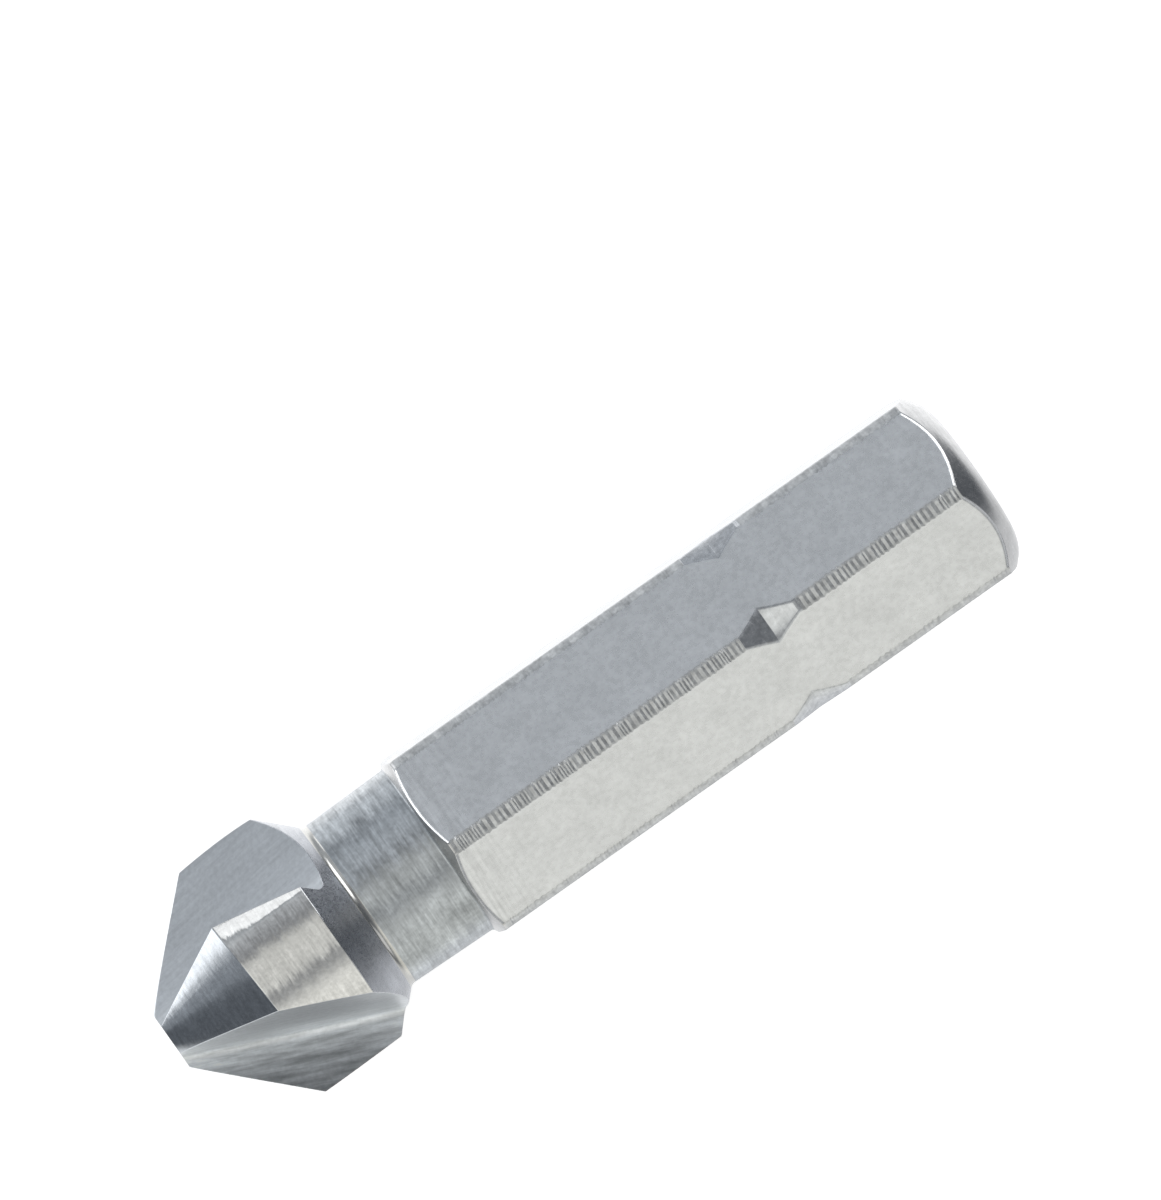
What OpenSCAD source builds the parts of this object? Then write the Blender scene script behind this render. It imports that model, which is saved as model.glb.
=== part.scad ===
// Countersink bit: a 90 degree, three-flute cutting head on a hexagonal drive shank, in one piece.
// The tool lies level, as it rests on a bench. The origin is the centre of the shank's end face,
// +X runs along the tool's axis to the cutting tip, and +Z goes through a corner of the hexagon.

/* [Head] */
// Largest diameter of the cutting head
head_d = 8.3; // [7.2:0.1:10]
// Diameter of the flat at the tip
tip_d = 2.3; // [1.6:0.1:2.6]
// Included angle of the cutting cone
point_angle = 90; // [80:1:100]
// Length of the head from the tip to the rear edge of its lands
head_len = 5.95; // [5:0.05:7]
// Angle of the back taper against the axis
back_angle = 45; // [35:1:60]

/* [Flutes] */
// Number of cutting edges
flute_count = 3; // [3:1:4]
// Included angle of each V-shaped flute
flute_angle = 84.5; // [75:0.5:95]
// Angle at which the root of a flute leaves the axis
flute_lean = 23.5; // [20:0.5:27]
// Distance of the root from the axis at the tip
flute_root_r = 0.73; // [0.6:0.01:0.8]
// Angle of the rake face against the radial line through the root
rake_turn = 28; // [20:1:35]
// Radius at the root of a flute
flute_fillet = 0.25; // [0.1:0.05:0.4]
// Turn of the flutes against the corners of the hexagon
flute_index = 20; // [0:0.5:120]
// How far each land's cone is set off centre, which relieves it behind its cutting edge
relief = 0.25; // [0.1:0.05:0.4]

/* [Neck] */
// Diameter of the neck behind the head
neck_d = 5.92; // [5:0.02:6.1]
// Diameter of the neck in front of the shank
neck_shank_d = 6.04; // [5:0.02:6.2]
// Radius between the back taper and the neck
neck_fillet = 0.3; // [0.1:0.05:0.6]
// Radius between the neck and the shoulder of the shank
shoulder_fillet = 0.1; // [0.1:0.05:0.5]
// Angle of the shoulder against the axis
shoulder_angle = 62; // [60:1:85]

/* [Shank] */
// Whole length of the tool
total_len = 30.6; // [26:0.1:50]
// Length of the hexagonal shank along its corners
shank_len = 20.15; // [14:0.05:22]
// Width of the hexagon across its flats
shank_af = 6.35; // [6:0.05:7]
// Width of the hexagon across its turned corners
shank_corner_d = 7.08; // [6.6:0.02:7.2]
// Chamfer at the end of the shank, measured at the corners
end_chamfer = 0.91; // [0.3:0.01:1.5]
// Radius between the chamfer and the end face
end_round = 1.5; // [0.3:0.1:2]

/* [Retaining groove] */
// Distance of the groove from the end of the shank
groove_x = 8.13; // [6:0.01:12]
// Width of the groove at the corners
groove_w = 2.0; // [1:0.1:4]
// Diameter at the bottom of the groove
groove_d = 6.7; // [6.5:0.02:6.9]

/* [Hidden] */
arc_steps = 8;
round_steps = 96;
over = 0.5;
// Turn from a cutting edge to the side that its land's cone is set off to
relief_turn = 60;
relief_lap = 3;
relief_steps = 4;
steel = [0.66, 0.67, 0.68];

head_r = head_d / 2;
tip_r = tip_d / 2;
neck_r = neck_d / 2;
neck_shank_r = neck_shank_d / 2;
corner_r = shank_corner_d / 2;

cone_slope = tan(point_angle / 2);
cone_len = (head_r - tip_r) / cone_slope;
land_end_z = total_len - head_len;
taper_end_z = land_end_z - (head_r - neck_r) / tan(back_angle);
shoulder_z = shank_len + (corner_r - neck_shank_r) / tan(shoulder_angle);
flats_end_z = (shoulder_z + taper_end_z) / 2;

// Turn from a root's radial line to its cutting edge, where the cone meets the lands
root_at_land = flute_root_r + cone_len * tan(flute_lean);
edge_turn = rake_turn - asin(root_at_land * sin(rake_turn) / head_r);
flute_step = 360 / flute_count;

// Points of a round corner of radius r at point b, on the way from point a to point c.
function unit(v) = v / norm(v);
function round_corner(a, b, c, r) =
    let (
        u = unit(a - b),
        v = unit(c - b),
        half = acos(u * v) / 2,
        centre = b + unit(u + v) * r / sin(half),
        start = b + u * r / tan(half) - centre,
        side = sign(u[0] * v[1] - u[1] * v[0]),
        sweep = side * (180 - 2 * half)
    )
    [for (i = [0 : arc_steps])
        let (turn = -sweep * i / arc_steps)
        centre + [
            start[0] * cos(turn) - start[1] * sin(turn),
            start[0] * sin(turn) + start[1] * cos(turn)
        ]];

// Half section of the turned blank as [radius, height], from the shank's end up to the tip.
// The cone is still a plain cylinder here: the relieved cones cut it.
function turned_section() =
    let (
        chamfer_r = corner_r - end_chamfer,
        chamfer_end = [corner_r, end_chamfer],
        end_edge = [chamfer_r, 0],
        shank_front = [corner_r, shank_len],
        neck_start = [neck_shank_r, shoulder_z],
        neck_end = [neck_r, taper_end_z],
        land_end = [head_r, land_end_z]
    )
    concat(
        [[0, 0]],
        round_corner([0, 0], end_edge, chamfer_end, end_round),
        [chamfer_end],
        [
            [corner_r, groove_x - groove_w / 2],
            [groove_d / 2, groove_x],
            [corner_r, groove_x + groove_w / 2],
            shank_front
        ],
        round_corner(shank_front, neck_start, neck_end, shoulder_fillet),
        round_corner(neck_start, neck_end, land_end, neck_fillet),
        [land_end, [head_r, total_len], [0, total_len]]
    );

// Turned blank, with the flats of the hexagon cut on its shank.
module blank() {
    intersection() {
        rotate_extrude($fn = round_steps)
            polygon(turned_section());
        union() {
            translate([0, 0, -over])
                cylinder(h = flats_end_z + 2 * over, r = shank_af / 2 / cos(30), $fn = 6);
            translate([0, 0, flats_end_z])
                cylinder(h = total_len - flats_end_z + over, r = head_d, $fn = round_steps);
        }
    }
}

// What is taken off outside one land's relieved cone, whose cutting edge is at turn 0.
// Its two sides lie in the flutes in front of the land and behind it.
module relief_cut() {
    reach = 2 * head_d;
    first_side = flute_step / 4 + relief_lap;
    sector = flute_step + 2 * relief_lap;
    cut_len = cone_len + 2 * over;
    cone_h = cut_len + 2 * over;
    cone_end_r = tip_r - relief * cos(relief_turn) - over * cone_slope;
    translate([0, 0, total_len + over / 2 - cut_len])
        difference() {
            linear_extrude(cut_len)
                polygon(concat([[0, 0]], [
                    for (i = [0 : relief_steps])
                        let (turn = first_side - sector * i / relief_steps)
                        reach * [cos(turn), sin(turn)]
                ]));
            rotate([0, 0, relief_turn])
                translate([relief, 0, over / 2 + cut_len - cone_h])
                    cylinder(
                        h = cone_h,
                        r1 = cone_end_r + cone_h * cone_slope,
                        r2 = cone_end_r,
                        $fn = round_steps
                    );
        }
}

// One V-shaped flute with a rounded root. Its root leaves the axis on the way to the shank.
module flute_cut() {
    reach = 2 * head_d;
    floor_turn = rake_turn + flute_angle;
    rake_end = reach * [cos(rake_turn), sin(rake_turn)];
    floor_end = reach * [cos(floor_turn), sin(floor_turn)];
    translate([flute_root_r, 0, total_len])
        rotate([0, -flute_lean, 0])
            translate([0, 0, -2 * head_len])
                linear_extrude(2 * head_len + reach)
                    polygon(concat(
                        [rake_end, floor_end],
                        round_corner(floor_end, [0, 0], rake_end, flute_fillet)
                    ));
}

module countersink_bit() {
    color(steel)
        rotate([0, 90, 0])
            rotate([0, 0, 180])
                difference() {
                    blank();
                    for (i = [0 : flute_count - 1])
                        rotate([0, 0, flute_index + i * flute_step]) {
                            rotate([0, 0, edge_turn])
                                relief_cut();
                            flute_cut();
                        }
                }
}

countersink_bit();
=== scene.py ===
"""Looks of the countersink bit: one solid piece of bright high-speed steel, lying on a pale table.

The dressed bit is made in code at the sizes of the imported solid, with the things that a solid model
leaves out: broken edges, turning marks on the corners of the hexagon, and the finish that each tool
left on its own surface. Sizes are in millimetres, and turns are in degrees round the tool's axis,
from straight up towards -Y.
"""
import math
import random

import bmesh
import bpy
from mathutils import Matrix, Vector


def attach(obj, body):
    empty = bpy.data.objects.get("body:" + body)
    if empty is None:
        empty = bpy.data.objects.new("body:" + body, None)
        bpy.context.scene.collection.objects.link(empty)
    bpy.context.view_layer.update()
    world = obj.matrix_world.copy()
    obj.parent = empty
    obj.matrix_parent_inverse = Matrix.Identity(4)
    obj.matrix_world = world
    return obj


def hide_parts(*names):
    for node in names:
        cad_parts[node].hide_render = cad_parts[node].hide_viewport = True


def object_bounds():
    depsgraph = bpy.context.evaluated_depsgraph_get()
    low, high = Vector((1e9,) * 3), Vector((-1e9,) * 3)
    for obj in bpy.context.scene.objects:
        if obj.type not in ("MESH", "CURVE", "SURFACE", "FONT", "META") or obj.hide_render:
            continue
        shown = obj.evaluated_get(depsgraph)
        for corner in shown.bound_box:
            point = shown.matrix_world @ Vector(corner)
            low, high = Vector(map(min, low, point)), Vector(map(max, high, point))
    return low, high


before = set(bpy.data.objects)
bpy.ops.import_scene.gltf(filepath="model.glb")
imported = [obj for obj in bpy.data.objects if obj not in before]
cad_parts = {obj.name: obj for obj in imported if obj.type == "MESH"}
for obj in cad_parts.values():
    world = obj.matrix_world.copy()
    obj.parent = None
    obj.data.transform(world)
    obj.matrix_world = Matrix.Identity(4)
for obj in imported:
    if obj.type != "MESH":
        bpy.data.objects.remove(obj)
cad_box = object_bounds()

MM = 0.001
MICRON = 0.000001
FLUTE_PLACE = "flute_place"
EDGE_SHARE = "edge_share"
PIECE = "countersink_bit_steel"

# Head
TOTAL_LEN = cad_box[1][0] / MM
HEAD_R = cad_box[1][2] / MM
TIP_R = 1.15
CONE_LEN = HEAD_R - TIP_R
HEAD_LEN = 5.95
LAND_END = TOTAL_LEN - HEAD_LEN

# Flutes
FLUTES = 3
FLUTE_STEP = 360 / FLUTES
FLUTE_INDEX = 20
FLUTE_ANGLE = 84.5
FLUTE_LEAN = 23.5
FLUTE_ROOT_R = 0.73
FLUTE_FILLET = 0.25
RAKE_TURN = 28
RELIEF = 0.25
RELIEF_TURN = 60
RELIEF_LAP = 3
RELIEF_STEPS = 4
LAND_HALF_TURN = 30
ROOT_AT_LAND = FLUTE_ROOT_R + CONE_LEN * math.tan(math.radians(FLUTE_LEAN))
EDGE_TURN = RAKE_TURN - math.degrees(
    math.asin(ROOT_AT_LAND * math.sin(math.radians(RAKE_TURN)) / HEAD_R)
)
LAND_MIDDLE = FLUTE_INDEX + EDGE_TURN - LAND_HALF_TURN

# Neck
NECK_R = 2.96
NECK_SHANK_R = 3.02
NECK_FILLET = 0.3
SHOULDER_FILLET = 0.1
SHOULDER_ANGLE = 62
TAPER_END = LAND_END - (HEAD_R - NECK_R)

# Shank
SHANK_LEN = 20.15
FLAT_R = 6.35 / 2
CORNER_R = 7.08 / 2
END_CHAMFER = 0.91
END_ROUND = 1.5
GROOVE_X = 8.13
GROOVE_HALF = 1.0
GROOVE_R = 6.7 / 2
SHOULDER_SLOPE = 1 / math.tan(math.radians(SHOULDER_ANGLE))
SHOULDER_X = SHANK_LEN + (CORNER_R - NECK_SHANK_R) / math.tan(math.radians(SHOULDER_ANGLE))
FLATS_END = (SHOULDER_X + TAPER_END) / 2

# Detail of the dressed mesh
SIDES = 6
SIDE_TURN = 60
HALF_SIDE = 30
CORNER_STEPS = 24
SCALLOP_STEP = 2.4
ROUND_STEPS = 8
END_STEPS = 14
EDGE_STEPS = 3
CONE_SIDES = 240
BROKEN_EDGE = 0.08
CUTTING_EDGE = 0.03
FINE_EDGE = 0.04
MARK_PITCH = 0.17
MARK_DEPTH = 0.017
MARK_SPREAD = 0.5
OVER = 0.5
REACH = 16
WELD = 0.012
SAME_PLACE = 1e-4
SAME_TURN = 1e-9
SHARP_TURN = 17
SMOOTH_LIMIT = math.cos(math.radians(40))

# Zones of the finishes: beside a cutting edge, on the rims of the flats and in the flutes
FRONT_EDGE_ZONE = 0.95
REAR_EDGE_ZONE = 0.26
AWAY_FROM_EDGE = 9
FULL_TILT = 0.3
RAGGED_SCALE = (11, 0.9, 0.9)
RAGGED = 0.1
RIM = 0.14
RIM_LEAN = 0.4
ROOT_ZONE = (0.3, 0.9)
ROOT_ROUGHNESS = 1.8
# Painted highlight near a flute's root and painted shade further out on its rake face: the zone in
# millimetres from the root, and the change of the tint
ROOT_PAINTED_LIGHT_ZONE = (0.3, 2.4)
ROOT_PAINTED_LIGHT_AND_SHADE = (0.2, -0.6)
FLOOR_LINES = 0.25
# Painted light: how much lighter the flute's floor is painted
FLOOR_PAINTED_LIGHT = 0.15
FACE_BORDER = 0.3

# Noise keeps near its middle, so these are the ends that it is stretched from
NOISE_MIDDLE = 0.5
NOISE = (0.3, 0.7)
WIDE_NOISE = (0.25, 0.75)
CENTRED_NOISE = (-0.2, 0.2)
LINE_DETAIL = 3.0
LINE_ROUGHNESS = 0.65
SWAY_ROUGHNESS = 0.7
GLOSS_SPREAD = 0.1
QUARTER_TURN = 0.25

FINISHES = (
    "ground_flat",
    "turned_corner",
    "cut_groove",
    "turned_end",
    "turned_neck",
    "neck_fillet",
    "back_taper",
    "ground_land",
    "ground_cone",
    "milled_flute",
)
FINISH_INDEX = {name: index for index, name in enumerate(FINISHES)}


def rad(degrees):
    return math.radians(degrees)


def polar(radius, turn):
    """A point of a flat section, at a radius and a turn in degrees."""
    return Vector((radius * math.cos(rad(turn)), radius * math.sin(rad(turn))))


def outward(turn):
    """Unit vector away from the tool's axis at a turn."""
    return Vector((0, -math.sin(rad(turn)), math.cos(rad(turn))))


def turn_of(point):
    """Turn at which a point lies."""
    return math.degrees(math.atan2(-point.y, point.z))


def flute_of_land(middle):
    """Turn of the flute whose cutting edge is on the land with a face at this middle."""
    return FLUTE_INDEX + round((turn_of(middle) - LAND_MIDDLE) / FLUTE_STEP) * FLUTE_STEP


def round_corner(before, corner, after, radius, steps=ROUND_STEPS):
    """Points of the round of this radius at a corner of an outline."""
    before, corner, after = Vector(before), Vector(corner), Vector(after)
    back = (before - corner).normalized()
    ahead = (after - corner).normalized()
    half = back.angle(ahead) / 2
    centre = corner + (back + ahead).normalized() * radius / math.sin(half)
    start = corner + back * radius / math.tan(half) - centre
    left = 1 if back.x * ahead.y > back.y * ahead.x else -1
    sweep = -left * (math.pi - 2 * half)
    return [centre + Matrix.Rotation(sweep * i / steps, 2) @ start for i in range(steps + 1)]


def break_edge(before, corner, after, size=FINE_EDGE):
    """A corner of the turned outline with its edge just broken."""
    return round_corner(before, corner, after, size, EDGE_STEPS)


def turning_marks(start, end, seed):
    """Outline points of the fine grooves that a lathe tool leaves on the corners."""
    draw = random.Random(seed)
    points = []
    x = start
    while x < end - MARK_PITCH:
        pitch = MARK_PITCH * draw.uniform(1 - MARK_SPREAD, 1 + MARK_SPREAD)
        depth = MARK_DEPTH * draw.uniform(1 - MARK_SPREAD, 1 + MARK_SPREAD)
        points.append(Vector((CORNER_R, x)))
        points.append(Vector((CORNER_R - depth, x + pitch / 2)))
        x += pitch
    points.append(Vector((CORNER_R, x)))
    return points


def shank_outline():
    """The turned outline as (radius, x, finish), from the shank's end to the lands."""
    chamfer_r = CORNER_R - END_CHAMFER
    chamfer_end = (CORNER_R, END_CHAMFER)
    groove_start = (CORNER_R, GROOVE_X - GROOVE_HALF)
    groove_mid = (GROOVE_R, GROOVE_X)
    groove_end = (CORNER_R, GROOVE_X + GROOVE_HALF)
    shank_front = (CORNER_R, SHANK_LEN)
    neck_start = (NECK_SHANK_R, SHOULDER_X)
    neck_end = (NECK_R, TAPER_END)
    land_end = (HEAD_R, LAND_END)
    shoulder_round = round_corner(shank_front, neck_start, neck_end, SHOULDER_FILLET)
    neck_round = round_corner(neck_start, neck_end, land_end, NECK_FILLET)
    end_round = round_corner((0, 0), (chamfer_r, 0), chamfer_end, END_ROUND, END_STEPS)
    stretches = (
        ("turned_end", end_round),
        ("turned_end", break_edge((chamfer_r, 0), chamfer_end, groove_start)),
        ("turned_corner", turning_marks(END_CHAMFER + FINE_EDGE, groove_start[1] - FINE_EDGE, 3)),
        ("cut_groove", break_edge(chamfer_end, groove_start, groove_mid)),
        ("cut_groove", break_edge(groove_start, groove_mid, groove_end)),
        ("cut_groove", break_edge(groove_mid, groove_end, shank_front)),
        ("turned_corner", turning_marks(groove_end[1] + FINE_EDGE, SHANK_LEN - FINE_EDGE, 7)),
        ("turned_end", break_edge(groove_end, shank_front, neck_start)),
        ("turned_end", shoulder_round[:1]),
        ("turned_neck", shoulder_round[1:]),
        ("turned_neck", neck_round[:1]),
        ("neck_fillet", neck_round[1:]),
    )
    outline = []
    for finish, points in stretches:
        outline += [(p.x, p.y, finish) for p in points]
    outline.append((HEAD_R, LAND_END, "back_taper"))
    return outline


def flat_turn(radius, x):
    """Turn from the middle of a flat to its edge in the section at x, or 0 if it is round."""
    if radius <= FLAT_R or x > FLATS_END:
        return 0
    return math.degrees(math.acos(FLAT_R / radius))


def with_scallops(outline):
    """The outline with a ring added wherever the edges of the flats curve across a cone."""
    rings = [outline[0]]
    for r1, x1, finish in outline[1:]:
        r0, x0, _ = rings[-1]
        first, last = sorted((flat_turn(r0, x0), flat_turn(r1, x1)))
        turns = [k * SCALLOP_STEP for k in range(int(HALF_SIDE / SCALLOP_STEP) + 1)]
        crossed = [t for t in turns if first - SAME_TURN < t < last - SAME_TURN]
        radii = [FLAT_R / math.cos(rad(t)) for t in crossed]
        low, high = min(r0, r1), max(r0, r1)
        between = [r for r in radii if low + SAME_PLACE < r < high - SAME_PLACE]
        for r in sorted(between, reverse=r1 < r0):
            rings.append((r, x0 + (x1 - x0) * (r - r0) / (r1 - r0), finish))
        rings.append((r1, x1, finish))
    return rings


def ring_points(radius, x):
    """One ring of the tool: six arcs and six flats, with a broken edge between them."""
    flat = flat_turn(radius, x)
    edge = min(BROKEN_EDGE, radius * math.sin(rad(flat)) / 2)
    edge_turn = math.degrees(edge / radius)
    arc = HALF_SIDE - flat
    reach = arc - edge_turn
    points = []
    for side in range(SIDES):
        corner = SIDE_TURN * side
        for sign in (-1, 1):
            sharp = polar(radius, corner + sign * arc)
            along_flat = polar(1, corner + sign * (HALF_SIDE + 90))
            on_flat = sharp + along_flat * edge
            on_arc = polar(radius, corner + sign * reach)
            between = on_flat * 0.25 + sharp * 0.5 + on_arc * 0.25
            if sign < 0:
                points += [on_flat, between, on_arc]
                for k in range(1, CORNER_STEPS):
                    points.append(polar(radius, corner + reach * (2 * k / CORNER_STEPS - 1)))
            else:
                points += [on_arc, between, on_flat]
    return [Vector((x, -p.y, p.x)) for p in points]


def new_object(name, mesh):
    """A mesh object with outward faces and the bit's list of finishes."""
    bmesh.ops.recalc_face_normals(mesh, faces=mesh.faces)
    data = bpy.data.meshes.new(name)
    mesh.to_mesh(data)
    mesh.free()
    obj = bpy.data.objects.new(name, data)
    bpy.context.scene.collection.objects.link(obj)
    for finish in FINISHES:
        data.materials.append(steel[finish])
    return obj


def blank():
    """The turned bar with its hexagon. The head is still a plain cylinder."""
    outline = with_scallops(shank_outline())
    outline.append((HEAD_R, TOTAL_LEN, "ground_land"))
    mesh = bmesh.new()
    rings = [[mesh.verts.new(p) for p in ring_points(r, x)] for r, x, _ in outline]
    mesh.faces.new(rings[0]).material_index = FINISH_INDEX["turned_end"]
    mesh.faces.new(rings[-1]).material_index = FINISH_INDEX["turned_end"]
    count = len(rings[0])
    per_side = count // SIDES
    for (first, second), (_, _, finish) in zip(zip(rings, rings[1:]), outline[1:]):
        for k in range(count):
            n = (k + 1) % count
            face = mesh.faces.new((first[k], first[n], second[n], second[k]))
            on_flat = k % per_side in (0, per_side - 2, per_side - 1)
            face.material_index = FINISH_INDEX["ground_flat" if on_flat else finish]
    bmesh.ops.remove_doubles(mesh, verts=mesh.verts, dist=SAME_PLACE)
    return new_object(PIECE, mesh)


def closed_solid(name, bottom_points, top_points, finish):
    """A solid between two outlines with as many points each."""
    mesh = bmesh.new()
    bottom = [mesh.verts.new(p) for p in bottom_points]
    top = [mesh.verts.new(p) for p in top_points]
    mesh.faces.new(bottom)
    mesh.faces.new(top)
    for k in range(len(bottom)):
        n = (k + 1) % len(bottom)
        mesh.faces.new((bottom[k], bottom[n], top[n], top[k]))
    for face in mesh.faces:
        face.material_index = FINISH_INDEX[finish]
    return new_object(name, mesh)


def prism(name, outline, low, high, place, finish):
    """An outline extruded from low to high, in the frame that the matrix gives."""
    bottom = [place @ Vector((p.x, p.y, low)) for p in outline]
    top = [place @ Vector((p.x, p.y, high)) for p in outline]
    return closed_solid(name, bottom, top, finish)


def frustum(name, low_r, high_r, length, place, finish):
    """A closed cone frustum along the local Z axis of the frame that the matrix gives."""
    turns = [360 * (k + 0.5) / CONE_SIDES for k in range(CONE_SIDES)]
    lift = Vector((0, 0, length))
    bottom = [place @ polar(low_r, t).to_3d() for t in turns]
    top = [place @ (polar(high_r, t).to_3d() + lift) for t in turns]
    return closed_solid(name, bottom, top, finish)


def combine(obj, tool, operation):
    """Cuts the tool from the object, or keeps what both share, and deletes the tool."""
    cut = obj.modifiers.new("cut", "BOOLEAN")
    cut.operation = operation
    cut.solver = "MANIFOLD"
    cut.object = tool
    cut_obj = obj.evaluated_get(bpy.context.evaluated_depsgraph_get())
    result = bpy.data.meshes.new_from_object(cut_obj)
    obj.modifiers.clear()
    old = obj.data
    obj.data = result
    bpy.data.meshes.remove(old)
    bpy.data.objects.remove(tool)


def turned_frame(turn, x):
    """Axes at x on the tool's axis: X outward at this turn, Y to a larger turn, Z to the tip."""
    sideways = Vector((0, -math.cos(rad(turn)), -math.sin(rad(turn))))
    frame_axes = Matrix((outward(turn), sideways, Vector((1, 0, 0)))).transposed().to_4x4()
    frame_axes.translation = Vector((x, 0, 0))
    return frame_axes


def relief_cut(turn):
    """What is ground off outside the relieved cone of the land with its cutting edge at turn."""
    cut_len = CONE_LEN + 2 * OVER
    cone_h = cut_len + 2 * OVER
    end_r = TIP_R - RELIEF * math.cos(rad(RELIEF_TURN)) - OVER
    first_side = FLUTE_STEP / 4 + RELIEF_LAP
    sector = FLUTE_STEP + 2 * RELIEF_LAP
    outline = [Vector((0, 0))]
    for k in range(RELIEF_STEPS + 1):
        outline.append(polar(REACH, first_side - sector * k / RELIEF_STEPS))
    place = turned_frame(turn, TOTAL_LEN + OVER / 2 - cut_len)
    cut = prism("relief_sector", outline, 0, cut_len, place, "ground_cone")
    aside = Matrix.Rotation(rad(RELIEF_TURN), 4, "Z") @ Matrix.Translation((RELIEF, 0, 0))
    cone_place = turned_frame(turn, TOTAL_LEN + OVER - cone_h) @ aside
    cone = frustum("relief_cone", end_r + cone_h, end_r, cone_h, cone_place, "ground_cone")
    combine(cut, cone, "DIFFERENCE")
    return cut


def flute_frame(turn):
    """Axes of a flute at the tip: X outward from its root, and Z along its root."""
    lean = Matrix.Translation((FLUTE_ROOT_R, 0, 0)) @ Matrix.Rotation(rad(-FLUTE_LEAN), 4, "Y")
    return turned_frame(turn, TOTAL_LEN) @ lean


def nearest_flute(point):
    """Axes of the flute that this point is in."""
    flute = round((turn_of(point) - FLUTE_INDEX - RAKE_TURN) / FLUTE_STEP)
    return flute_frame(FLUTE_INDEX + flute * FLUTE_STEP)


def flute_cut(turn):
    """One V-shaped flute with a rounded root."""
    rake_end = polar(REACH, RAKE_TURN)
    floor_end = polar(REACH, RAKE_TURN + FLUTE_ANGLE)
    outline = [rake_end, floor_end] + round_corner(floor_end, (0, 0), rake_end, FLUTE_FILLET)
    return prism("flute_cutter", outline, -2 * HEAD_LEN, REACH, flute_frame(turn), "milled_flute")


def round_head_edges(mesh):
    """Rounds the head's sharp edges, but not the tip flat's. Returns the faces that it makes."""
    head = [v for v in mesh.verts if v.co.x > TAPER_END]
    bmesh.ops.remove_doubles(mesh, verts=head, dist=WELD)
    edges = [e for e in mesh.edges if min(v.co.x for v in e.verts) > TAPER_END]
    bmesh.ops.dissolve_degenerate(mesh, edges=edges, dist=WELD / 3)
    behind = TAPER_END + NECK_FILLET
    sharp = [
        e
        for e in mesh.edges
        if e.is_manifold
        and e.calc_face_angle() > rad(SHARP_TURN)
        and behind < min(v.co.x for v in e.verts) < TOTAL_LEN - WELD
    ]
    rounded = bmesh.ops.bevel(
        mesh,
        geom=sharp,
        offset=CUTTING_EDGE,
        offset_type="OFFSET",
        segments=2,
        profile=0.5,
        affect="EDGES",
        clamp_overlap=False,
        material=-1,
    )
    return set(rounded["faces"])


def radial(point):
    """Unit vector from the tool's axis to a point."""
    return Vector((0, point.y, point.z)).normalized()


def cone_normal(point, middle):
    """Normal of a land's relieved cone. The land is the one whose face has this middle."""
    centre = outward(flute_of_land(middle) + EDGE_TURN + RELIEF_TURN) * RELIEF
    return (radial(point - centre) + Vector((1, 0, 0))).normalized()


def edge_share(point, middle):
    """Distance from a land's cutting edge, as a share of the zone beside it that turns to face its
    flute.
    """
    in_flute = flute_frame(flute_of_land(middle)).inverted() @ point
    behind_edge = in_flute.x * math.sin(rad(RAKE_TURN)) - in_flute.y * math.cos(rad(RAKE_TURN))
    along = (point.x - LAND_END) / (TOTAL_LEN - CONE_LEN - LAND_END)
    return behind_edge / (REAR_EDGE_ZONE + (FRONT_EDGE_ZONE - REAR_EDGE_ZONE) * along)


def corner_normal(face, vert, small_faces):
    """The normal that a face is shaded with at one of its corners: that of its true surface."""
    finish = FINISHES[face.material_index]
    if face in small_faces:
        main = [f for f in vert.link_faces if f not in small_faces]
        if main:
            return sum((corner_normal(f, vert, small_faces) for f in main), Vector()).normalized()
    elif finish == "ground_land":
        return radial(vert.co)
    elif finish == "back_taper":
        return (radial(vert.co) - Vector((1, 0, 0))).normalized()
    elif finish == "ground_cone":
        return cone_normal(vert.co, face.calc_center_median())
    near = [f for f in vert.link_faces if f.normal.dot(face.normal) > SMOOTH_LIMIT]
    smooth = sum((f.normal * f.calc_area() for f in near), Vector()).normalized()
    if finish == "turned_corner":
        return Vector((face.normal.x, 0, 0)) + radial(smooth) * math.sqrt(1 - face.normal.x**2)
    return smooth


def finish_mesh(obj):
    """Rounds the head's edges, gives each surface its true normals and brings all to metres."""
    mesh = bmesh.new()
    mesh.from_mesh(obj.data)
    small_faces = round_head_edges(mesh)
    mesh.normal_update()
    for face in mesh.faces:
        face.smooth = True
    normals = [corner_normal(f, v, small_faces) for f in mesh.faces for v in f.verts]
    place = mesh.loops.layers.float_vector.new(FLUTE_PLACE)
    share = mesh.loops.layers.float.new(EDGE_SHARE)
    for face in mesh.faces:
        on_land = FINISHES[face.material_index] == "ground_land" and face not in small_faces
        middle = face.calc_center_median()
        for loop in face.loops:
            loop[share] = edge_share(loop.vert.co, middle) if on_land else AWAY_FROM_EDGE
        if FINISHES[face.material_index] == "milled_flute":
            into_flute = nearest_flute(middle).inverted()
            for loop in face.loops:
                loop[place] = (into_flute @ loop.vert.co).zxy
    mesh.to_mesh(obj.data)
    mesh.free()
    obj.data.transform(Matrix.Scale(MM, 4))
    obj.data.normals_split_custom_set(normals)


def countersink_bit():
    """The whole dressed bit."""
    bit = blank()
    for k in range(FLUTES):
        turn = FLUTE_INDEX + k * FLUTE_STEP
        combine(bit, relief_cut(turn + EDGE_TURN), "DIFFERENCE")
        combine(bit, flute_cut(turn), "DIFFERENCE")
    finish_mesh(bit)
    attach(bit, "root")
    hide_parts("countersink_bit")
    return bit


def add(tree, kind, inputs=None, **settings):
    """Adds a shader node. A socket given as an input is linked, and a plain value is set."""
    made = tree.nodes.new("ShaderNode" + kind)
    for key, value in settings.items():
        setattr(made, key, value)
    for key, value in (inputs or {}).items():
        if isinstance(value, bpy.types.NodeSocket):
            tree.links.new(value, made.inputs[key])
        else:
            made.inputs[key].default_value = value
    return made


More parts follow.
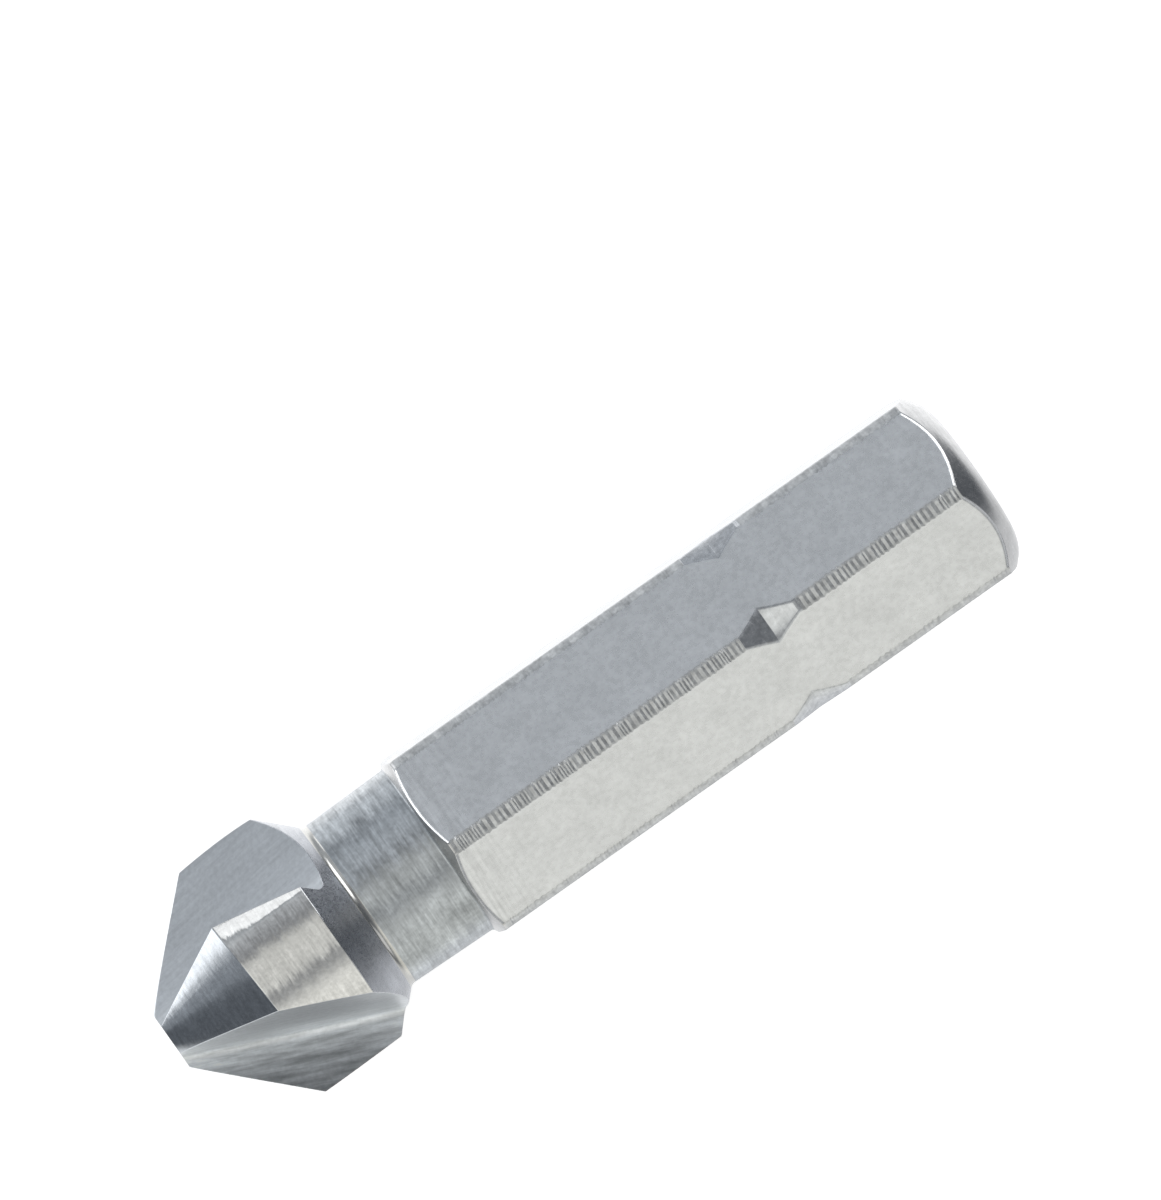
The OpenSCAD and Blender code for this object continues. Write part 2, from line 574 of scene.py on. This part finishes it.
def math_node(tree, operation, first, second=0.0):
    """The result of a sum, product or other operation on two numbers."""
    return add(tree, "Math", {0: first, 1: second}, operation=operation).outputs[0]


def map_range(tree, value, low, high, to_low=0.0, to_high=1.0, smooth=False):
    """A value stretched from one range to another, and held at its ends."""
    inputs = {
        "Value": value,
        "From Min": low,
        "From Max": high,
        "To Min": to_low,
        "To Max": to_high,
    }
    kind = "SMOOTHSTEP" if smooth else "LINEAR"
    return add(tree, "MapRange", inputs, interpolation_type=kind).outputs["Result"]


def noise(tree, place, per_mm, detail=2.0, roughness=0.55):
    """Noise from 0 to 1 around 0.5, with this many spots to the millimetre along each axis."""
    scaled = add(tree, "VectorMath", {0: place, 1: per_mm}, operation="MULTIPLY").outputs[0]
    inputs = {"Vector": scaled, "Scale": 1.0, "Detail": detail, "Roughness": roughness}
    return add(tree, "TexNoise", inputs).outputs["Fac"]


def vary(tree, value, share, middle=1.0):
    """A factor that a noise moves up and down from its middle by this share."""
    return map_range(tree, value, *NOISE, middle * (1 - share), middle * (1 + share))


def place_in_mm(tree):
    """The point on the bit, in millimetres."""
    here = add(tree, "TexCoord").outputs["Object"]
    return add(tree, "VectorMath", {0: here, "Scale": 1 / MM}, operation="SCALE").outputs[0]


def lay_lines(tree, shader):
    """Turns the shader's anisotropy so that its fine lines run round the tool."""
    around = add(tree, "Tangent", direction_type="RADIAL", axis="X").outputs[0]
    tree.links.new(around, shader.inputs["Tangent"])
    shader.inputs["Anisotropic Rotation"].default_value = QUARTER_TURN


def uneven_turn(tree, place, sway):
    """Degrees by which each line that runs round the tool is turned from the true surface.

    sway is (lines to the millimetre, spots round the tool to the millimetre, degrees).
    """
    along, around, most = sway
    lines = noise(tree, place, (along, around, around), LINE_DETAIL, SWAY_ROUGHNESS)
    return map_range(tree, lines, *WIDE_NOISE, -most, most)


def turn_beside_edge(tree, place, tilt):
    """Degrees by which the zone beside a cutting edge faces its flute, with a ragged inner side."""
    share = add(tree, "Attribute", attribute_name=EDGE_SHARE).outputs["Fac"]
    lines = noise(tree, place, RAGGED_SCALE, LINE_DETAIL, SWAY_ROUGHNESS)
    ragged = map_range(tree, lines, *WIDE_NOISE, -RAGGED, RAGGED)
    inward = math_node(tree, "ADD", share, ragged)
    return map_range(tree, inward, 1.0, FULL_TILT, 0.0, tilt, smooth=True)


def turned_normal(tree, degrees):
    """The surface's normal turned round the tool's axis."""
    normal = add(tree, "NewGeometry").outputs["Normal"]
    inputs = {"Vector": normal, "Angle": math_node(tree, "RADIANS", degrees)}
    return add(tree, "VectorRotate", inputs, rotation_type="X_AXIS").outputs[0]


def rim_normal(tree, place):
    """The normal of a flat, leaning back on the rim that its cutting raised at both of its ends."""
    x, y, z = add(tree, "SeparateXYZ", {0: place}).outputs[:3]
    across = add(tree, "CombineXYZ", {0: 0.0, 1: y, 2: z}).outputs[0]
    radius = add(tree, "VectorMath", {0: across}, operation="LENGTH").outputs["Value"]
    past_radius = math_node(tree, "SUBTRACT", x, radius)
    from_end = math_node(tree, "ADD", past_radius, CORNER_R - END_CHAMFER)
    below_corner = math_node(tree, "SUBTRACT", CORNER_R, radius)
    past_shank = math_node(tree, "MULTIPLY", below_corner, SHOULDER_SLOPE)
    front = math_node(tree, "ADD", past_shank, SHANK_LEN)
    from_front = math_node(tree, "SUBTRACT", front, x)
    nearest = math_node(tree, "MINIMUM", from_end, from_front)
    lean = map_range(tree, nearest, RIM, RIM / 4, 0.0, -RIM_LEAN, smooth=True)
    back = add(tree, "CombineXYZ", {0: lean}).outputs[0]
    normal = add(tree, "NewGeometry").outputs["Normal"]
    leaning = add(tree, "VectorMath", {0: normal, 1: back}, operation="ADD").outputs[0]
    return add(tree, "VectorMath", {0: leaning}, operation="NORMALIZE").outputs[0]


def bare_metal(name):
    """A new metal material, its node tree and its shader."""
    material = bpy.data.materials.new(name)
    material.use_nodes = True
    shader = material.node_tree.nodes["Principled BSDF"]
    shader.inputs["Metallic"].default_value = 1.0
    return material, material.node_tree, shader


def dress(tree, shader, colour, rough, height, normal=None):
    """Gives a shader its finish. colour is (tint, shade), and height is in micrometres."""
    tint, shade = colour
    shaded = add(tree, "VectorMath", {0: tint, "Scale": shade}, operation="SCALE").outputs[0]
    tree.links.new(shaded, shader.inputs["Base Color"])
    tree.links.new(rough, shader.inputs["Roughness"])
    bump = add(tree, "Bump", {"Height": height, "Strength": 1.0, "Distance": MICRON})
    if normal is not None:
        tree.links.new(normal, bump.inputs["Normal"])
    tree.links.new(bump.outputs[0], shader.inputs["Normal"])


def fade_in(tree, place, lines, ends):
    """Lines that come in between two places on the axis."""
    x = add(tree, "SeparateXYZ", {0: place}).outputs[0]
    centred = math_node(tree, "SUBTRACT", lines, NOISE_MIDDLE)
    faded = math_node(tree, "MULTIPLY", centred, map_range(tree, x, *ends))
    return math_node(tree, "ADD", faded, NOISE_MIDDLE)


def steel_finish(
    name,
    tint,
    rough,
    grain,
    streaks=None,
    spots=None,
    brushed=0.0,
    sway=None,
    edge_tilt=0.0,
    rims=False,
    streaks_from=None,
):
    """Bare steel as one tool left it.

    tint is its colour, and rough its roughness. grain is (spots to the millimetre, height in
    micrometres, change of colour). streaks is (lines to the millimetre, spots round the tool to the
    millimetre, height in micrometres, change of colour), and streaks_from is the two places on the
    axis between which they come in. spots is (spots to the millimetre, change of colour). brushed
    is how far the lines draw out the gloss. sway is as in uneven_turn, and edge_tilt is the tilt of
    turn_beside_edge. rims says whether the surface has the raised rims of rim_normal.
    """
    material, tree, shader = bare_metal(name)
    shader.inputs["Anisotropic"].default_value = brushed
    place = place_in_mm(tree)
    if brushed:
        lay_lines(tree, shader)

    fine = noise(tree, place, (grain[0],) * 3)
    height = math_node(tree, "MULTIPLY", fine, grain[1])
    shade = vary(tree, fine, grain[2])
    if streaks:
        along, around, line_height, line_share = streaks
        lines = noise(tree, place, (along, around, around), LINE_DETAIL, LINE_ROUGHNESS)
        if streaks_from:
            lines = fade_in(tree, place, lines, streaks_from)
        height = math_node(tree, "ADD", height, math_node(tree, "MULTIPLY", lines, line_height))
        shade = math_node(tree, "MULTIPLY", shade, vary(tree, lines, line_share))
    if spots:
        patches = noise(tree, place, (spots[0],) * 3, LINE_DETAIL)
        shade = math_node(tree, "MULTIPLY", shade, vary(tree, patches, spots[1]))

    normal = None
    if sway:
        turn = uneven_turn(tree, place, sway)
        if edge_tilt:
            turn = math_node(tree, "ADD", turn, turn_beside_edge(tree, place, edge_tilt))
        normal = turned_normal(tree, turn)
    if rims:
        normal = rim_normal(tree, place)
    dress(tree, shader, (tint, shade), vary(tree, fine, GLOSS_SPREAD, rough), height, normal)
    return material


def flute_finish(name, tint, rough, grain, streaks):
    """Steel as a milling cutter left it, with fine lines along the flute, coarse on its rake face.
    Its colour also holds painted light: a painted highlight near the root, painted shade further out
    on the rake face and a painted brightening of the flute's floor.

    grain is as in steel_finish, and streaks is (scale along the flute, scale across it, height in
    micrometres, change of colour).
    """
    material, tree, shader = bare_metal(name)
    place = add(tree, "Attribute", attribute_name=FLUTE_PLACE).outputs["Vector"]
    _, out, aside = add(tree, "SeparateXYZ", {0: place}).outputs[:3]
    on_rake = map_range(tree, out, -FACE_BORDER, FACE_BORDER, FLOOR_LINES, 1.0)
    out_square = math_node(tree, "MULTIPLY", out, out)
    aside_square = math_node(tree, "MULTIPLY", aside, aside)
    from_root = math_node(tree, "SQRT", math_node(tree, "ADD", out_square, aside_square))

    along, across, line_height, line_share = streaks
    fine = noise(tree, place, (grain[0],) * 3)
    lines = noise(tree, place, (along, across, across), LINE_DETAIL, LINE_ROUGHNESS)
    centred = math_node(tree, "SUBTRACT", lines, NOISE_MIDDLE)
    lines = math_node(tree, "MULTIPLY", centred, on_rake)
    height = math_node(tree, "MULTIPLY", fine, grain[1])
    height = math_node(tree, "ADD", height, math_node(tree, "MULTIPLY", lines, line_height))

    shade = vary(tree, fine, grain[2])
    # Painted highlight near the root, turning to painted shade further out on the rake face
    root_highlight_and_shade = map_range(tree, from_root, *ROOT_PAINTED_LIGHT_ZONE, *ROOT_PAINTED_LIGHT_AND_SHADE)
    shade = math_node(tree, "ADD", shade, math_node(tree, "MULTIPLY", root_highlight_and_shade, on_rake))
    # Painted light: the flute's floor is painted lighter
    towards_floor = math_node(tree, "SUBTRACT", aside, out)
    painted_light_on_floor = map_range(tree, towards_floor, 0.0, FACE_BORDER, 0.0, FLOOR_PAINTED_LIGHT)
    shade = math_node(tree, "ADD", shade, painted_light_on_floor)
    streaked = map_range(tree, lines, *CENTRED_NOISE, 1 - line_share, 1 + line_share)
    shade = math_node(tree, "MULTIPLY", shade, streaked)
    rougher = map_range(tree, from_root, *ROOT_ZONE, rough * ROOT_ROUGHNESS, rough)
    dress(tree, shader, (tint, shade), rougher, height)
    return material


steel = {
    "ground_flat": steel_finish(
        "ground_flat",
        (0.66, 0.67, 0.68),
        0.28,
        grain=(5, 1.8, 0.075),
        streaks=(6, 0.4, 1.6, 0.15),
        spots=(0.9, 0.05),
        rims=True,
        streaks_from=(18.0, 20.1),
    ),
    "turned_corner": steel_finish(
        "turned_corner",
        (0.53, 0.54, 0.545),
        0.42,
        grain=(9, 2.0, 0.1),
        streaks=(8, 2, 2.0, 0.1),
        spots=(4, 0.18),
    ),
    "cut_groove": steel_finish(
        "cut_groove",
        (0.525, 0.54, 0.56),
        0.25,
        grain=(7, 2.0, 0.08),
        streaks=(8, 0.6, 1.0, 0.08),
        spots=(5, 0.12),
        brushed=0.5,
    ),
    "turned_end": steel_finish(
        "turned_end",
        (0.58, 0.58, 0.58),
        0.25,
        grain=(9, 1.5, 0.06),
        streaks=(8, 0.6, 1.0, 0.08),
        spots=(2, 0.08),
        brushed=0.5,
        sway=(8, 0.6, 2.0),
    ),
    "turned_neck": steel_finish(
        "turned_neck",
        (0.47, 0.495, 0.515),
        0.38,
        grain=(7, 2.0, 0.12),
        streaks=(8, 0.7, 3.0, 0.28),
        spots=(1.3, 0.18),
        brushed=0.6,
        sway=(8, 0.7, 6.0),
    ),
    "neck_fillet": steel_finish(
        "neck_fillet",
        (0.6, 0.595, 0.57),
        0.2,
        grain=(9, 1.0, 0.05),
        streaks=(8, 0.5, 1.0, 0.06),
        sway=(7, 0.5, 2.0),
    ),
    "back_taper": steel_finish(
        "back_taper",
        (0.485, 0.5, 0.53),
        0.28,
        grain=(9, 1.5, 0.08),
        streaks=(8, 0.7, 2.0, 0.1),
        spots=(1.5, 0.1),
        brushed=0.5,
        sway=(8, 0.7, 3.0),
    ),
    "ground_land": steel_finish(
        "ground_land",
        (0.65, 0.65, 0.64),
        0.2,
        grain=(8, 1.0, 0.1),
        streaks=(9, 0.8, 1.5, 0.12),
        spots=(3, 0.08),
        brushed=0.5,
        sway=(9, 0.8, 2.6),
        edge_tilt=29.0,
    ),
    "ground_cone": steel_finish(
        "ground_cone",
        (0.64, 0.67, 0.7),
        0.17,
        grain=(9, 1.0, 0.08),
        streaks=(8, 0.8, 1.5, 0.12),
        spots=(3, 0.08),
        brushed=0.3,
        sway=(7, 0.8, 1.5),
    ),
    "milled_flute": flute_finish(
        "milled_flute",
        (0.63, 0.65, 0.67),
        0.3,
        grain=(7, 1.0, 0.07),
        streaks=(0.45, 4, 12.0, 0.36),
    ),
}

# Light and floor. A light is (turn, lean, width, height, soft, level, tint), and all but its level
# and tint are in degrees.
WARM = (1.0, 0.985, 0.905)
COOL = (0.95, 1.0, 1.05)
WHITE = (1.0, 1.0, 1.0)
AMBIENT = (0.115, 0.125, 0.14)
BACKDROP = (0.97, 0.97, 0.97, 1)
FLOOR_SIZE = 4
FLOOR_COLOUR = (0.8, 0.8, 0.8, 1)
FLOOR_GLOW = 0.65
LIGHTS = {
    "table": (188, -6, 114, 112, 24, 0.74, WHITE),
    "bright_side_of_table": (159, -18, 54, 92, 24, 0.5, WHITE),
    "card_by_tip": (129, 56, 58, 40, 12, 1.45, WHITE),
    "haze_by_tip": (61.5, 90, 200, 40, 30, 0.19, COOL),
    "window_side": (82, 4, 94, 110, 24, 0.36, COOL),
    "strip_behind": (52, -48, 66, 26, 8, 2.6, WHITE),
    "strip_below": (-67, -48, 50, 26, 12, 0.75, WHITE),
    "strip_beside": (106, -2, 34, 12, 8, 1.15, WHITE),
    "lamp_side": (-75, 13, 92, 72, 28, 0.79, WARM),
    "lamp_above": (-45, 54, 70, 16, 8, 0.6, WARM),
    "overhead": (2.5, 29.5, 34, 67, 10, 0.74, WARM),
    "lamp_ahead": (-3.5, 20, 26, 16, 8, 0.35, WARM),
    "ceiling": (1.5, 15, 120, 80, 60, 0.18, WHITE),
}

# Camera. The photograph is a plain top view, turned in its plane.
PHOTO_W = 1161
PX_PER_MM = 32.13
AXIS_IN_PICTURE = 35.18
CAMERA_ROLL = 3.5
CAMERA_LEAN = 2.4
CAMERA_DISTANCE = 0.5
SENSOR_W = 36
CENTRE_FROM_TIP = 18.304
CENTRE_ACROSS = 3.782


def camera():
    """Looks straight down on the bit, leaning a little towards its tip."""
    across = Vector((0, -math.cos(rad(CAMERA_ROLL)), -math.sin(rad(CAMERA_ROLL))))
    above = Vector((0, -math.sin(rad(CAMERA_ROLL)), math.cos(rad(CAMERA_ROLL))))
    ahead = Vector((1, 0, 0))
    back = above * math.cos(rad(CAMERA_LEAN)) + ahead * math.sin(rad(CAMERA_LEAN))
    along = above * math.sin(rad(CAMERA_LEAN)) - ahead * math.cos(rad(CAMERA_LEAN))
    right = along * math.cos(rad(AXIS_IN_PICTURE)) - across * math.sin(rad(AXIS_IN_PICTURE))
    up = along * math.sin(rad(AXIS_IN_PICTURE)) + across * math.cos(rad(AXIS_IN_PICTURE))
    target = ahead * (TOTAL_LEN - CENTRE_FROM_TIP) * MM + across * CENTRE_ACROSS * MM
    data = bpy.data.cameras.new("camera")
    data.sensor_fit = "HORIZONTAL"
    data.sensor_width = SENSOR_W
    data.lens = SENSOR_W * CAMERA_DISTANCE * PX_PER_MM / (PHOTO_W * MM)
    data.clip_start = 0.01
    obj = bpy.data.objects.new("camera", data)
    bpy.context.scene.collection.objects.link(obj)
    place = Matrix((right, up, back)).transposed().to_4x4()
    place.translation = target + back * CAMERA_DISTANCE
    obj.matrix_world = place
    bpy.context.scene.camera = obj


def floor():
    """A plain pale floor. The bit doesn't reflect it: the studio light has a table for that."""
    lowest = cad_box[0][2]
    bpy.ops.mesh.primitive_plane_add(size=FLOOR_SIZE, location=(0, 0, lowest))
    obj = bpy.context.object
    obj.name = "floor"
    material = bpy.data.materials.new("floor")
    material.use_nodes = True
    shader = material.node_tree.nodes["Principled BSDF"]
    shader.inputs["Base Color"].default_value = FLOOR_COLOUR
    shader.inputs["Roughness"].default_value = 1.0
    shader.inputs["Specular IOR Level"].default_value = 0.0
    shader.inputs["Emission Color"].default_value = (1, 1, 1, 1)
    shader.inputs["Emission Strength"].default_value = FLOOR_GLOW
    obj.data.materials.append(material)
    obj.visible_glossy = False


def window(tree, value, size, soft):
    """One within half of this size from zero, and none outside, with soft ends."""
    away = math_node(tree, "ABSOLUTE", value)
    return map_range(tree, away, size / 2 + soft / 2, max(0, size / 2 - soft / 2), smooth=True)


def studio_light():
    """Soft light from all round the bit, as wide panels with soft edges.

    The turn of a light goes round the tool's axis, and its lean from square to the axis towards the
    tip.
    """
    world = bpy.data.worlds.new("studio")
    world.use_nodes = True
    bpy.context.scene.world = world
    tree = world.node_tree
    toward = add(tree, "TexCoord").outputs["Generated"]
    x, y, z = add(tree, "SeparateXYZ", {0: toward}).outputs[:3]
    sideways = math_node(tree, "MULTIPLY", y, -1)
    turn = math_node(tree, "DEGREES", math_node(tree, "ARCTAN2", sideways, z))
    lean = math_node(tree, "DEGREES", math_node(tree, "ARCSINE", x))
    light = add(tree, "RGB").outputs[0]
    light.default_value = (*AMBIENT, 1)
    for light_turn, light_lean, width, height, soft, level, tint in LIGHTS.values():
        from_middle = math_node(tree, "SUBTRACT", turn, light_turn)
        inputs = {0: from_middle, 1: 180, 2: -180}
        nearest = add(tree, "Math", inputs, operation="WRAP").outputs[0]
        across = window(tree, nearest, width, soft)
        along = window(tree, math_node(tree, "SUBTRACT", lean, light_lean), height, soft)
        bright = math_node(tree, "MULTIPLY", math_node(tree, "MULTIPLY", across, along), level)
        glow = add(tree, "VectorMath", {0: tint, "Scale": bright}, operation="SCALE").outputs[0]
        light = add(tree, "VectorMath", {0: light, 1: glow}, operation="ADD").outputs[0]
    camera_ray = add(tree, "LightPath").outputs["Is Camera Ray"]
    seen = add(tree, "MixRGB", {0: camera_ray, 1: light, 2: BACKDROP}).outputs[0]
    tree.links.new(seen, tree.nodes["Background"].inputs["Color"])


camera()
floor()
studio_light()
bpy.context.scene.view_settings.view_transform = "Standard"
bit = countersink_bit()
